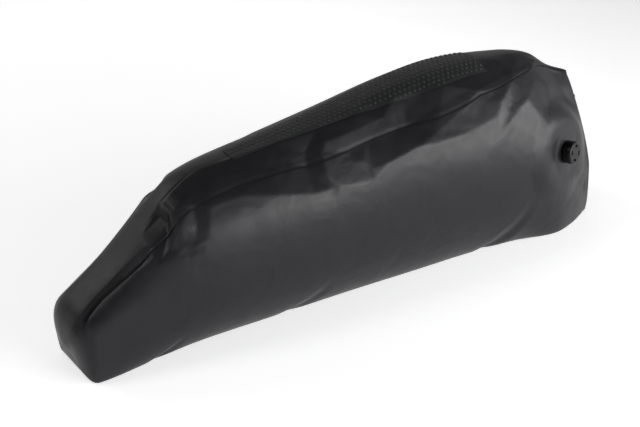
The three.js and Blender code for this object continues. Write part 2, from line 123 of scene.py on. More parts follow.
def taut_form(along, around):
    """The filled form without folds. The lower part of a section is a quarter ellipse from base to belly, and
    the upper part a quarter superellipse from belly to crown. around runs from -1 (crown, far side) over 0
    (base) to 1 (crown, near side). Past 1 along, the cloth comes together to the flattened mouth."""
    section = section_at(along)
    base = section["base"] * WIDTH / 2
    belly = section["belly"] * WIDTH / 2
    belly_height = section["belly_height"] * HEIGHT
    crown = section["crown"] * HEIGHT
    power = 2 / section["squareness"]
    place = np.abs(around)
    seam = section["seam"]
    grip = section["grip"]
    turn = np.where(
        place < SEAM,
        seam * (place - BELLY) / (SEAM - BELLY),
        np.where(
            place < GRIP,
            seam + (grip - seam) * (place - SEAM) / (GRIP - SEAM),
            grip + (1 - grip) * (place - GRIP) / (1 - GRIP),
        ),
    )
    turn = np.clip(turn, 0, 1) * math.pi / 2
    lower = np.clip((place - FLOOR) / (BELLY - FLOOR), 0, 1) * math.pi / 2
    across = np.where(
        place >= BELLY,
        belly * np.clip(np.cos(turn), 0, 1) ** power,
        base * np.minimum(place / FLOOR, 1) + (belly - base) * np.sin(lower),
    )
    height = np.where(
        place >= BELLY,
        belly_height + (crown - belly_height) * np.sin(turn) ** power,
        belly_height * (1 - np.cos(lower)),
    )
    from_nose = along * LENGTH
    from_rear = np.maximum(0, 1 - along) * LENGTH
    drawn = drawn_in(from_nose, NOSE_ROUNDING)
    nose_lean = NOSE_LEAN * (1 - height / crown) * np.clip(1 - from_nose / NOSE_LEAN_REACH, 0, 1)
    to_mouth = np.clip((along - 1) / MOUTH_SHARE, 0, 1)
    gathered = drawn_in((1 - to_mouth) * MOUTH_REACH, MOUTH_REACH)
    mouth_across = MOUTH_THICKNESS / 2 * (across / belly) ** MOUTH_TAPER
    up = crown / 2 + (height - crown / 2) * drawn * (1 - MOUTH_SHRINK * to_mouth)
    rear_lean = REAR_SLOPE * up * np.clip(1 - from_rear / REAR_LEAN_REACH, 0, 1)
    return np.stack([
        (np.minimum(along, 1) - 0.5) * LENGTH + to_mouth * MOUTH_REACH + nose_lean - rear_lean,
        -np.sign(around) * (mouth_across + (across * drawn - mouth_across) * gathered),
        up,
    ], axis=-1)


def unit(vectors):
    """Vectors divided by their lengths."""
    return vectors / np.maximum(np.linalg.norm(vectors, axis=-1, keepdims=True), 1e-9)


def taut_normal(along, around):
    """Outward normal of the taut form, from central differences."""
    step = 1e-3
    a = np.clip(along, 2 * step, 1 + MOUTH_SHARE - 2 * step)
    b = np.clip(around, -1 + 2 * step, 1 - 2 * step)
    run_along = taut_form(a + step, b) - taut_form(a - step, b)
    run_around = taut_form(a, b + step) - taut_form(a, b - step)
    return unit(np.cross(run_along, run_around))


# Folds of the near side. Each is a line of places, walked from first to last: share along, share around, how
# far its flank reaches to the left and to the right of the line, and how deep it is, in millimetres. Along
# runs to the right and around runs up, as the near side is seen. AROUND_LENGTH is about the length of cloth
# from the middle of the base to the crown.
AROUND_LENGTH = 228
NEAR_FOLDS = {
    "ledge over the welded edge of the nose": [
        (-0.01, 0.520, 6, 3, 1.5), (0.014, 0.600, 16, 3, 3.6), (0.028, 0.648, 24, 4, 4.6),
        (0.055, 0.664, 28, 4, 5.2), (0.090, 0.662, 30, 4, 5.2), (0.115, 0.652, 24, 4, 3.6),
        (0.138, 0.625, 12, 4, 0.6),
    ],
    "crease under the knob": [
        (0.178, 0.528, 4, 3, 1.0), (0.190, 0.508, 5, 3, 1.8), (0.204, 0.495, 4, 3, 0.5),
    ],
    "pleat at the base of the nose": [
        (0.128, 0.185, 6, 6, 2.6), (0.150, 0.220, 6, 6, 2.6), (0.170, 0.265, 4, 4, 0.4),
    ],
    "pleat at the middle of the base": [
        (0.362, 0.180, 7, 7, 2.6), (0.400, 0.220, 7, 7, 2.4), (0.436, 0.265, 5, 5, 0.4),
    ],
    "pleat at the rear of the base": [
        (0.752, 0.175, 8, 8, 3.4), (0.790, 0.230, 8, 8, 3.0), (0.832, 0.300, 5, 5, 0.4),
    ],
    "crumple under the valve": [
        (0.900, 0.350, 6, 6, 0.8), (0.945, 0.335, 9, 9, 2.6), (0.990, 0.290, 7, 7, 1.2),
    ],
}
# The far side, which the photograph doesn't show, has dents of the same kind.
FAR_FOLDS = {
    "dent by the nose": [(0.215, 0.54, 8, 8, 2.0), (0.195, 0.72, 12, 12, 5.0)],
    "first dent": [(0.400, 0.50, 6, 5, 1.8), (0.375, 0.58, 20, 10, 5.0), (0.360, 0.68, 22, 12, 5.5)],
    "second dent": [(0.600, 0.52, 6, 6, 2.2), (0.570, 0.60, 20, 10, 5.0), (0.575, 0.69, 22, 12, 6.0)],
    "third dent": [(0.740, 0.46, 6, 6, 1.8), (0.770, 0.64, 16, 16, 5.5)],
    "rear dent": [(0.860, 0.36, 8, 8, 1.5), (0.920, 0.58, 14, 14, 5.0)],
}


def fold_depth(along, around, folds):
    """Sum of the folds' depths. Along each part of a fold's line its reach and depth run evenly from place
    to place. Across the line each flank is straight, so that a fold reads as crisp facets. Where the parts
    of one line meet, the deepest counts."""
    total = np.zeros(along.shape)
    for line in folds.values():
        deepest = np.zeros(along.shape)
        for first, last in zip(line[:-1], line[1:]):
            run_x = (last[0] - first[0]) * LENGTH
            run_y = (last[1] - first[1]) * AROUND_LENGTH
            run = math.hypot(run_x, run_y)
            off_x = (along - first[0]) * LENGTH
            off_y = (around - first[1]) * AROUND_LENGTH
            share = (off_x * run_x + off_y * run_y) / run**2
            inner = np.clip(share, 0, 1)
            left, right, deep = (first[at] + (last[at] - first[at]) * inner for at in (2, 3, 4))
            side = (off_x * run_y - off_y * run_x) / run
            flank = np.where(side > 0, right, left)
            beyond = (share - inner) * run
            fall = np.hypot(side / flank, 2 * beyond / (left + right))
            deepest = np.maximum(deepest, deep * np.maximum(0, 1 - fall))
        total += deepest
    return total


# Net of creases of the near side: between its lines the stiff cloth spans almost straight, in facets. Each
# line is a row of places: share along, share around and depth in millimetres, below 0 where the cloth stands
# proud. The rim stays on the taut form. STIFFNESS is how far the facets go from its curve towards flat.
STIFFNESS = 0.75
NET_RIM = [
    (0.140, 0.56), (0.136, 0.72), (0.140, 0.88), (0.150, 0.985), (0.240, 0.985), (0.340, 0.975),
    (0.450, 0.975), (0.560, 0.975), (0.660, 0.975), (0.760, 0.975), (0.860, 0.975), (0.940, 0.970),
    (0.994, 0.930), (0.994, 0.740), (0.994, 0.600), (0.990, 0.500), (0.960, 0.480), (0.900, 0.455),
    (0.851, 0.435), (0.784, 0.430), (0.731, 0.450), (0.660, 0.480), (0.580, 0.490), (0.500, 0.470),
    (0.440, 0.490), (0.360, 0.520), (0.280, 0.540), (0.225, 0.530), (0.180, 0.515),
]
NET_LINES = {
    "hollow before the knob": [
        (0.164, 0.585, 1.6), (0.168, 0.650, 6.0), (0.173, 0.760, 7.0), (0.172, 0.880, 4.5),
        (0.168, 0.960, 1.0),
    ],
    "crest of the knob": [
        (0.182, 0.560, 0.6), (0.183, 0.633, -2.8), (0.185, 0.740, -4.6), (0.184, 0.840, -4.2),
        (0.178, 0.960, -1.2),
    ],
    "back of the knob": [
        (0.196, 0.552, 1.2), (0.202, 0.590, 0.8), (0.203, 0.660, -0.4), (0.201, 0.745, -2.4),
        (0.196, 0.860, -3.0),
    ],
    "valley behind the knob": [
        (0.203, 0.548, 1.4), (0.210, 0.615, 1.8), (0.214, 0.690, 1.2), (0.216, 0.770, 0.4),
    ],
    "rise behind the knob": [(0.224, 0.560, 0.0), (0.236, 0.640, 0.2), (0.244, 0.720, 0.8)],
    "seam before the first dent": [
        (0.252, 0.668, 1.2), (0.291, 0.675, 2.4), (0.334, 0.665, 3.2), (0.385, 0.660, 4.4),
    ],
    "ledge over the seam": [
        (0.262, 0.790, 0.6), (0.312, 0.755, 2.6), (0.342, 0.735, 3.8), (0.386, 0.723, 5.0),
        (0.417, 0.748, 6.6),
    ],
    "face over the ledge": [
        (0.300, 0.880, -0.8), (0.380, 0.860, -0.8), (0.450, 0.850, -1.0), (0.520, 0.850, -0.6),
    ],
    "shoulder before the first dent": [
        (0.285, 0.637, 0.4), (0.348, 0.580, 0.0), (0.405, 0.540, 0.3), (0.440, 0.538, 1.2),
    ],
    "bottom of the first dent": [
        (0.417, 0.748, 6.6), (0.411, 0.640, 7.6), (0.422, 0.588, 5.2), (0.440, 0.538, 1.2),
    ],
    "edge of the first dent": [
        (0.417, 0.748, 6.6), (0.439, 0.712, 2.8), (0.437, 0.653, 2.8), (0.433, 0.597, 2.0),
        (0.454, 0.535, 0.0),
    ],
    "shoulder": [
        (0.454, 0.535, 0.0), (0.480, 0.522, 0.0), (0.511, 0.516, 0.5), (0.525, 0.535, -0.2),
        (0.545, 0.560, -0.5), (0.575, 0.568, -0.5), (0.600, 0.580, -0.5), (0.640, 0.568, -0.3),
        (0.671, 0.573, 0.2), (0.711, 0.576, 0.8),
    ],
    "crease of the middle dent": [
        (0.511, 0.516, 0.5), (0.504, 0.558, 2.6), (0.490, 0.604, 3.8), (0.486, 0.658, 4.6),
    ],
    "rib of the middle dent": [(0.514, 0.556, 1.2), (0.500, 0.600, 2.4)],
    "seam after the first dent": [
        (0.437, 0.653, 2.8), (0.450, 0.652, 3.4), (0.486, 0.658, 4.6), (0.520, 0.672, 5.4),
        (0.569, 0.677, 6.4), (0.600, 0.683, 8.4),
    ],
    "face over the middle": [(0.450, 0.760, 0.6), (0.500, 0.770, 1.4), (0.560, 0.790, 3.6)],
    "hollow": [(0.600, 0.905, 1.2), (0.604, 0.790, 7.4), (0.600, 0.683, 8.4), (0.607, 0.650, 6.4)],
    "edge of the hollow": [
        (0.633, 0.925, 1.0), (0.645, 0.863, 3.0), (0.665, 0.750, 4.4), (0.690, 0.672, 3.4),
        (0.711, 0.576, 0.8),
    ],
    "lower edge of the hollow": [(0.607, 0.650, 6.4), (0.641, 0.613, 2.0), (0.711, 0.576, 0.8)],
    "seam behind the hollow": [
        (0.690, 0.672, 3.4), (0.710, 0.694, 2.8), (0.742, 0.716, 2.2), (0.777, 0.686, 1.6),
        (0.820, 0.668, 1.0), (0.880, 0.690, 0.2),
    ],
    "line over the rear seam": [
        (0.684, 0.870, 0.4), (0.729, 0.800, 1.6), (0.740, 0.768, 1.4), (0.825, 0.768, 0.8),
        (0.905, 0.800, 0.2),
    ],
    "first rear fold": [
        (0.711, 0.576, 0.8), (0.724, 0.625, 2.6), (0.752, 0.655, 2.2), (0.777, 0.659, 1.6),
    ],
    "edge of the first rear fold": [
        (0.781, 0.625, 0.6), (0.762, 0.585, 0.4), (0.740, 0.492, 0.0), (0.730, 0.500, 0.4),
    ],
    "second rear fold": [(0.832, 0.625, 1.6), (0.790, 0.574, 1.8), (0.762, 0.545, 0.6)],
    "edge of the second rear fold": [(0.837, 0.580, 0.4), (0.785, 0.543, 0.2), (0.770, 0.515, 0.0)],
    "patch under the rear seam": [(0.832, 0.625, 1.8), (0.878, 0.620, 2.0), (0.912, 0.592, 1.6)],
    "rear facet": [
        (0.851, 0.452, 0.0), (0.881, 0.476, 0.4), (0.939, 0.504, 3.0), (0.968, 0.610, 1.2),
        (0.958, 0.680, 0.6),
    ],
    "rear edge": [(0.939, 0.504, 3.0), (0.968, 0.506, 2.4)],
}


def facets(along, around):
    """The net of creases at the places given. The places of the lines are joined into triangles that keep the
    lines as edges. In each triangle its corners' points on the taut form, their depths and their stiffness
    are shared out by the three areas that a place makes with the corners."""
    corners = [(a, b, 0.0, 0.0) for a, b in NET_RIM]
    ties = [(at, (at + 1) % len(NET_RIM)) for at in range(len(NET_RIM))]
    for line in NET_LINES.values():
        numbers = []
        for a, b, deep in line:
            corner = (a, b, deep, STIFFNESS)
            if corner not in corners:
                corners.append(corner)
            numbers.append(corners.index(corner))
        ties += list(zip(numbers[:-1], numbers[1:]))
    flat = [Vector((a * LENGTH, b * AROUND_LENGTH)) for a, b, _, _ in corners]
    whole_hull = 0
    same_place = 0.01
    places, _, triangles, origins, _, _ = delaunay_2d_cdt(flat, ties, [], whole_hull, same_place)
    table = np.array(corners)
    taut = taut_form(table[:, 0], table[:, 1])
    span = np.zeros(along.shape + (3,))
    depth = np.zeros(along.shape)
    stiff = np.zeros(along.shape)
    x = along * LENGTH
    y = around * AROUND_LENGTH
    for triangle in triangles:
        (ax, ay), (bx, by), (cx, cy) = (places[corner] for corner in triangle)
        area = (bx - ax) * (cy - ay) - (cx - ax) * (by - ay)
        if abs(area) < 1e-6:
            continue
        second = ((x - ax) * (cy - ay) - (cx - ax) * (y - ay)) / area
        third = ((bx - ax) * (y - ay) - (x - ax) * (by - ay)) / area
        shares = np.stack([1 - second - third, second, third])
        inside = (shares >= -1e-9).all(axis=0)
        picked = [origins[corner][0] for corner in triangle]
        depth[inside] = (shares[:, inside] * table[picked, 2][:, None]).sum(axis=0)
        stiff[inside] = (shares[:, inside] * table[picked, 3][:, None]).sum(axis=0)
        span[inside] = shares[:, inside].T @ taut[picked]
    return span, depth, stiff


def soften(values, times):
    """Each value shared with its neighbours, 1 : 2 : 1 along and around, so that no edge is sharper than a
    cell of the grid."""
    for _ in range(times):
        values = (np.roll(values, 1, axis=1) + 2 * values + np.roll(values, -1, axis=1)) / 4
        values[1:-1] = (values[:-2] + 2 * values[1:-1] + values[2:]) / 4
    return values


# The valve's seat on the near side: its place, how far its axis turns to the rear and tilts up, and the patch
# of cloth that its flange holds flat, with the flange's edge showing through as a soft step.
VALVE_PLACE = (0.917, 0.429)
VALVE_TURN = math.radians(22)
VALVE_TILT = math.radians(9)
VALVE_AXIS = np.array([
    math.sin(VALVE_TURN) * math.cos(VALVE_TILT),
    -math.cos(VALVE_TURN) * math.cos(VALVE_TILT),
    math.sin(VALVE_TILT),
])
VALVE_SEAT = taut_form(np.array(VALVE_PLACE[0]), np.array(VALVE_PLACE[1]))
FLANGE_RADIUS = 18
FLANGE_MARGIN = 8
FLANGE_HALO = 0.7
HALO_EDGE = 3
# How often the depths are softened, and over what share of the girth they fade out below the crown.
FOLD_SOFTNESS = 1
CROWN_FADE = 0.06


def cloth_form(along, around):
    """The folded form: the taut form let in along its normals by the folds, flat round the valve with a soft
    raised disc over its flange, and flat where it stands."""
    points = taut_form(along, around)
    ends = smooth(along * LENGTH / NOSE_ROUNDING) * smooth((1 - along) * LENGTH / REAR_ROUNDING)
    ends = ends * smooth((1 - np.abs(around)) / CROWN_FADE)
    span, deep, stiff = facets(along, around)
    points = points + (span - points) * stiff[..., None]
    near = fold_depth(along, around, NEAR_FOLDS) + deep
    depth = soften(np.where(around >= 0, near, fold_depth(along, -around, FAR_FOLDS)), FOLD_SOFTNESS)
    points = points - taut_normal(along, around) * (depth * ends)[..., None]
    away = points - VALVE_SEAT
    proud = away @ VALVE_AXIS
    radius = np.linalg.norm(away - proud[..., None] * VALVE_AXIS, axis=-1)
    flat_radius = FLANGE_RADIUS + FLANGE_MARGIN
    flatten = np.where(around > 0, 1 - smooth((radius - flat_radius) / flat_radius), 0)
    over_flange = 1 - smooth((radius - FLANGE_RADIUS + HALO_EDGE / 2) / HALO_EDGE)
    halo = np.where(around > 0, FLANGE_HALO * over_flange, 0)
    points = points + ((halo - FLANGE_HALO - proud) * flatten)[..., None] * VALVE_AXIS
    points[..., 2] = np.maximum(0, points[..., 2])
    return points


def evenly(start, stop, count):
    """Numbers evenly apart from start up to stop, which is left out."""
    return np.linspace(start, stop, count, endpoint=False)


# Rows and columns are 2 mm apart or less on the near side, closer at the rounded ends, and wider on the base
# and on the far side.
NOSE_EDGE = NOSE_ROUNDING / LENGTH
REAR_EDGE = 1 - REAR_ROUNDING / LENGTH
LAP_SHARE = LAP / AROUND_LENGTH
NOSE_ROWS = 10
MIDDLE_ROWS = 288
REAR_ROWS = 4
MOUTH_ROWS = 9
ROWS = np.r_[
    NOSE_EDGE * evenly(0, 1, NOSE_ROWS) ** 2,
    evenly(NOSE_EDGE, REAR_EDGE, MIDDLE_ROWS),
    evenly(REAR_EDGE, 1, REAR_ROWS),
    1 + MOUTH_SHARE * np.sin(np.linspace(0, 1, MOUTH_ROWS) * math.pi / 2),
]


def side_columns(counts):
    """Columns from the base's middle up to the crown; each stretch has its own count."""
    lines = [0, FLOOR, BELLY, SEAM, SEAM + LAP_SHARE, GRIP, 1]
    return np.concatenate([evenly(*stretch) for stretch in zip(lines[:-1], lines[1:], counts)])


NEAR_COLUMNS = side_columns((8, 40, 44, 4, 22, 16))
FAR_COLUMNS = side_columns((6, 20, 22, 4, 12, 8))
COLUMNS = np.r_[-FAR_COLUMNS[:0:-1], NEAR_COLUMNS, 1]

# Where the welded edge of the top panel runs on the near side: share along, share around. The columns over
# the belly are moved so that the one at SEAM follows it.
SEAM_LINE = np.array([
    (0.000, 0.520), (0.016, 0.595), (0.026, 0.640), (0.053, 0.655), (0.086, 0.653), (0.120, 0.648),
    (0.180, 0.655), (0.250, 0.668), (0.291, 0.675), (0.334, 0.665), (0.396, 0.657), (0.443, 0.647),
    (0.480, 0.657), (0.516, 0.670), (0.569, 0.677), (0.608, 0.675), (0.651, 0.670), (0.680, 0.677),
    (0.708, 0.693), (0.742, 0.716), (0.777, 0.686), (0.820, 0.668), (0.861, 0.664), (0.900, 0.700),
    (0.940, 0.770), (0.970, 0.860), (1.000, 0.900),
])
nominal_along, nominal_around = np.meshgrid(ROWS, COLUMNS, indexing="ij")
seam_at = np.interp(nominal_along, SEAM_LINE[:, 0], SEAM_LINE[:, 1])
over_seam = seam_at + (1 - seam_at) * (nominal_around - SEAM) / (1 - SEAM)
under_seam = BELLY + (seam_at - BELLY) * (nominal_around - BELLY) / (SEAM - BELLY)
ALONG = nominal_along
AROUND = np.where(
    nominal_around > SEAM,
    over_seam,
    np.where(nominal_around > BELLY, under_seam, nominal_around),
)
SKIN = cloth_form(ALONG, AROUND)

# The hole for the valve's neck: places inside it are moved out to its edge, and cells inside it are left out.
NECK_RADIUS = 7.5
NECK_DEPTH = 5
hole_radius = NECK_RADIUS + CLEARANCE
from_seat = SKIN - VALVE_SEAT
proud = from_seat @ VALVE_AXIS
aside = from_seat - proud[..., None] * VALVE_AXIS
reach = np.linalg.norm(aside, axis=-1)
in_neck = (reach < hole_radius) & (np.abs(proud) < NECK_DEPTH) & (nominal_around > 0)
SKIN[in_neck] += (aside * (hole_radius / np.maximum(reach, 1e-6) - 1)[..., None])[in_neck]
in_neck_beside = np.roll(in_neck, -1, axis=1)
neck_cells = in_neck[:-1] & in_neck[1:] & in_neck_beside[:-1] & in_neck_beside[1:]


def grid_normals(points):
    """Outward normals of a grid whose columns close to a ring: the cross products of each cell's diagonals,
    added up at its four corners. The first row is a pole, so it shares one normal."""
    following = np.roll(points, -1, axis=1)
    crossings = np.cross(following[1:] - points[:-1], following[:-1] - points[1:])
    normals = np.zeros_like(points)
    for rows in (slice(None, -1), slice(1, None)):
        normals[rows] += crossings + np.roll(crossings, 1, axis=1)
    normals[0] = normals[0].sum(axis=0)
    return unit(normals)


SKIN_NORMALS = grid_normals(SKIN)


def shell_mesh(name, kept, inner, outer):
    """A closed shell over the kept cells of the skin, between two distances along its normals, and never
    under the floor. Each cell gives a face outside and one inside, and each edge between a kept and a dropped
    cell gives a face of the rim."""
    rows = kept.shape[0] + 1
    columns = kept.shape[1]
    reaches = [np.broadcast_to(reach, SKIN.shape[:2])[..., None] for reach in (outer, inner)]
    points = np.concatenate([(SKIN + SKIN_NORMALS * reach).reshape(-1, 3) for reach in reaches])
    points[:, 2] = np.maximum(points[:, 2], 0)
    cut = np.stack([ALONG * LENGTH, AROUND * AROUND_LENGTH], axis=-1).reshape(-1, 2)
    number = np.arange(rows * columns).reshape(rows, columns)
    number[0] = number[0, 0]
    turned = np.roll(number, -1, axis=1)
    corners = np.stack([number[:-1], number[1:], turned[1:], turned[:-1]], axis=-1)
    under = rows * columns
    faces = [corners[kept], corners[kept][:, ::-1] + under]
    empty = np.zeros((1, columns), bool)
    for beside, (p, q) in (
        (np.r_[empty, kept[:-1]], (0, 3)),
        (np.r_[kept[1:], empty], (2, 1)),
        (np.roll(kept, 1, axis=1), (1, 0)),
        (np.roll(kept, -1, axis=1), (3, 2)),
    ):
        rim = corners[kept & ~beside]
        faces.append(np.stack([rim[:, p], rim[:, q], rim[:, q] + under, rim[:, p] + under], axis=-1))
    return piece_mesh(name, points, np.concatenate(faces), np.r_[cut, cut])


def piece_mesh(name, points, faces, flat, crisp=50):
    """A mesh object from points in millimetres and four-cornered faces. A corner that repeats the next one is
    left out, and so is a face with fewer than three corners left. flat gives the UV map in millimetres, which
    runs on over the crown. Edges sharper than crisp degrees stay sharp."""
    apart = faces != np.roll(faces, -1, axis=1)
    full = apart.sum(axis=1) > 2
    faces = faces[full]
    apart = apart[full]
    girth = 2 * AROUND_LENGTH
    spread = flat[faces]
    across_crown = np.ptp(spread[..., 1], axis=1) > girth / 2
    spread[..., 1] += girth * (across_crown[:, None] & (spread[..., 1] < 0))
    used, loops = np.unique(faces[apart], return_inverse=True)
    mesh = bpy.data.meshes.new(name)
    mesh.vertices.add(len(used))
    mesh.vertices.foreach_set("co", ((points[used] + FORM_SHIFT) / 1000).ravel())
    mesh.loops.add(len(loops))
    mesh.loops.foreach_set("vertex_index", loops.ravel())
    sizes = apart.sum(axis=1)
    mesh.polygons.add(len(sizes))
    mesh.polygons.foreach_set("loop_start", np.cumsum(sizes) - sizes)
    mesh.update(calc_edges=True)
    mesh.uv_layers.new(name="cut").data.foreach_set("uv", spread[apart].ravel() / 1000)
    mesh.polygons.foreach_set("use_smooth", np.ones(len(sizes), bool))
    mesh.set_sharp_from_angle(angle=math.radians(crisp))
    piece = bpy.data.objects.new(name, mesh)
    bpy.context.collection.objects.link(piece)
    return piece


# The form is moved to where the frame has the valve's seat. The body panel is open under the top panel, up to
# the lap, and round the valve's neck. The last column's cells reach over the crown to the first column.
FORM_SHIFT = 1000 * np.array(frame["joints"][0]["pos_m"]) - VALVE_SEAT
cell_along = ((ROWS[:-1] + ROWS[1:]) / 2)[:, None]
over_crown = 1 + 1e-3
cell_around = np.abs((COLUMNS + np.r_[COLUMNS[1:], over_crown]) / 2)[None]
under_top = (cell_along > NOSE_EDGE) & (cell_along < REAR_EDGE) & (cell_around > SEAM + LAP_SHARE)
body_panel = shell_mesh("body_cloth", ~under_top & ~neck_cells, -WALL, 0.0)
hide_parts("body_panel")
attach(body_panel, "bag")


def linear(colour):
    """An sRGB hex colour as linear red, green, blue and 1."""
    parts = [int(colour[at:at + 2], 16) / 255 for at in (1, 3, 5)]
    return tuple(p / 12.92 if p <= 0.04045 else ((p + 0.055) / 1.055) ** 2.4 for p in parts) + (1.0,)


def add_node(material, kind, settings=None, **links):
    """Adds a shader node. Each setting is a property or a socket's value, and each link feeds one socket, by
    its name or, as _0 and _1, by its number."""
    node = material.node_tree.nodes.new(kind)
    for name, value in (settings or {}).items():
        if isinstance(name, str) and hasattr(node, name):
            setattr(node, name, value)
        else:
            node.inputs[name].default_value = value
    for name, source in links.items():
        socket = node.inputs[int(name[1:])] if name[1:].isdigit() else node.inputs[name.replace("_", " ")]
        material.node_tree.links.new(source, socket)
    return node


def new_material(name):
    """A material with no nodes yet."""
    material = bpy.data.materials.new(name)
    material.use_nodes = True
    material.node_tree.nodes.clear()
    return material


# Nylon with a coat of polyurethane on both faces: satin black with a faint blue and lilac cast. The coat all
# but fills the weave. Its threads, 0.3 mm apart, are drawn as bands 1.5 mm wide so that they show at all. A
# wave texture of scale 1 turns through 20 radians a metre, and noise lies mostly between 0.3 and 0.7.
THREAD = 1.5
THREAD_DEPTH = 0.06
WAVE_RADIANS = 20
MOTTLE = 14
MOTTLE_DEPTH = 0.12
CRUMPLE = 30
CRUMPLE_DEPTH = 0.9
NOISE_LOW = 0.3
NOISE_HIGH = 0.7


def coated_nylon(name, colour, tint, roughness):
    """The cloth's material. Two sets of bands on the cut's UV map cross as the threads do; wider noise gives
    the coat's uneven gloss and shallow crumples. Its tint follows the crumples' height, so it is a faint cast
    and also painted shade, darker in their hollows and lighter on their rises."""
    material = new_material(name)
    place = add_node(material, "ShaderNodeTexCoord").outputs["Object"]
    cut = add_node(material, "ShaderNodeUVMap", {"uv_map": "cut"}).outputs[0]
    warp, weft = (
        add_node(material, "ShaderNodeTexWave", {
            "bands_direction": direction,
            "Scale": 1000 / THREAD / WAVE_RADIANS * math.pi,
            "Distortion": 0.4,
        }, Vector=cut).outputs["Fac"]
        for direction in ("X", "Y")
    )
    threads = add_node(material, "ShaderNodeMath", {"operation": "MULTIPLY"}, _0=warp, _1=weft).outputs[0]
    mottle = add_node(material, "ShaderNodeTexNoise", {
        "Scale": 1000 / MOTTLE, "Detail": 4.0, "Roughness": 0.6,
    }, Vector=place).outputs["Fac"]
    crumple_and_shade = add_node(material, "ShaderNodeTexNoise", {
        "Scale": 1000 / CRUMPLE, "Detail": 2.0, "Roughness": 0.5, "Distortion": 0.6,
    }, Vector=place).outputs["Fac"]
    shine = add_node(material, "ShaderNodeMapRange", {
        "From Min": NOISE_LOW, "From Max": NOISE_HIGH, "To Min": roughness - 0.03, "To Max": roughness + 0.04,
    }, Value=mottle).outputs[0]
    # Tint mixed in by the crumples' height: a faint blue cast, and painted shade, darker in their hollows.
    shade = add_node(material, "ShaderNodeMix", {
        "data_type": "RGBA", 6: linear(colour), 7: linear(tint),
    }, Factor=crumple_and_shade).outputs[2]
    dented = add_node(material, "ShaderNodeBump", {
        "Strength": 1.0, "Distance": CRUMPLE_DEPTH / 1000,
    }, Height=crumple_and_shade).outputs[0]
    uneven = add_node(material, "ShaderNodeBump", {
        "Strength": 1.0, "Distance": MOTTLE_DEPTH / 1000,
    }, Height=mottle, Normal=dented).outputs[0]
    weave = add_node(material, "ShaderNodeBump", {
        "Strength": 0.25, "Distance": THREAD_DEPTH / 1000,
    }, Height=threads, Normal=uneven).outputs[0]
    shader = add_node(material, "ShaderNodeBsdfPrincipled", {
        "Specular IOR Level": 0.23,
    }, Base_Color=shade, Roughness=shine, Normal=weave)
    add_node(material, "ShaderNodeOutputMaterial", Surface=shader.outputs[0])
    return material


body_panel.data.materials.append(coated_nylon("coated nylon, sides", "#141316", "#17171b", 0.41))

# Top panel: the same cloth, from seam to seam over the crown, in a slightly darker colour than the sides that
# is painted shade for the top. It laps over the sides by 5 mm and is welded to them hot, so its edge is
# pressed thin, with a narrow lip where melted coat was squeezed out. Its front end is pressed flat on the
# nose.
TOP_FLOOR = 0.1
TOP_FACE = 0.9
LIP_FACE = 1.0
LIP_WIDTH = 1.3
PRESSED_FACE = 0.7
PRESSED_EASE = 3
FRONT_FACE = 0.25
FRONT_START = 4
FRONT_RUN = 16
TOP_FIRST_ROW = 5
TOP_LAST_ROW = -5
from_edge = (np.abs(nominal_around) - SEAM) * AROUND_LENGTH
top_face = np.interp(
    from_edge,
    [0.0, LIP_WIDTH, 2 * LIP_WIDTH, LAP, LAP + PRESSED_EASE],
    [LIP_FACE, LIP_FACE, PRESSED_FACE, PRESSED_FACE, TOP_FACE],
)
behind_front = smooth((ALONG * LENGTH - FRONT_START) / FRONT_RUN)
top_face = FRONT_FACE + (top_face - FRONT_FACE) * behind_front
in_top = (cell_along > ROWS[TOP_FIRST_ROW]) & (cell_along < ROWS[TOP_LAST_ROW]) & (cell_around > SEAM)
top_panel = shell_mesh("top_cloth", in_top, TOP_FLOOR, top_face)
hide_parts("top_panel")
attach(top_panel, "bag")
# A darker copy of the sides' cloth: painted shade on the top.
top_panel.data.materials.append(coated_nylon("coated nylon, top, painted darker", "#121113", "#151317", 0.43))

# Grip strip: a band of thin rubbery film bonded along the crown, printed with rows of small raised dots that
# keep the saddle's straps from slipping. Rows stand a little closer than the dots of one row.
GRIP_START = 165
GRIP_RUN = 258
GRIP_FLOOR = 1.0
GRIP_FACE = 1.45
DOT_PITCH = 5.2
DOT_RADIUS = 1.25
DOT_HEIGHT = 0.55
DOT_SIDES = 8
DOT_ROWS = 8
ROW_PITCH = DOT_PITCH * 0.86
END_MARGIN = 4
SIDE_MARGIN = 2
in_grip = (
    (cell_along > GRIP_START / LENGTH)
    & (cell_along < (GRIP_START + GRIP_RUN) / LENGTH)
    & (cell_around > GRIP)
)
grip_film = shell_mesh("grip_film", in_grip, GRIP_FLOOR, GRIP_FACE)


def on_skin(along, around, reach):
    """Points over the skin, and its normals there, between the four nearest places of the grid."""
    found = []
    row = np.clip(np.searchsorted(ROWS, along) - 1, 0, len(ROWS) - 2)
    column = np.clip(np.searchsorted(COLUMNS, around) - 1, 0, len(COLUMNS) - 2)
    u = ((along - ROWS[row]) / (ROWS[row + 1] - ROWS[row]))[..., None]
    v = ((around - COLUMNS[column]) / (COLUMNS[column + 1] - COLUMNS[column]))[..., None]
    for values in (SKIN, SKIN_NORMALS):
        near = values[row, column] * (1 - v) + values[row, column + 1] * v
        far = values[row + 1, column] * (1 - v) + values[row + 1, column + 1] * v
        found.append(near * (1 - u) + far * u)
    normals = unit(found[1])
    return found[0] + normals * reach, normals


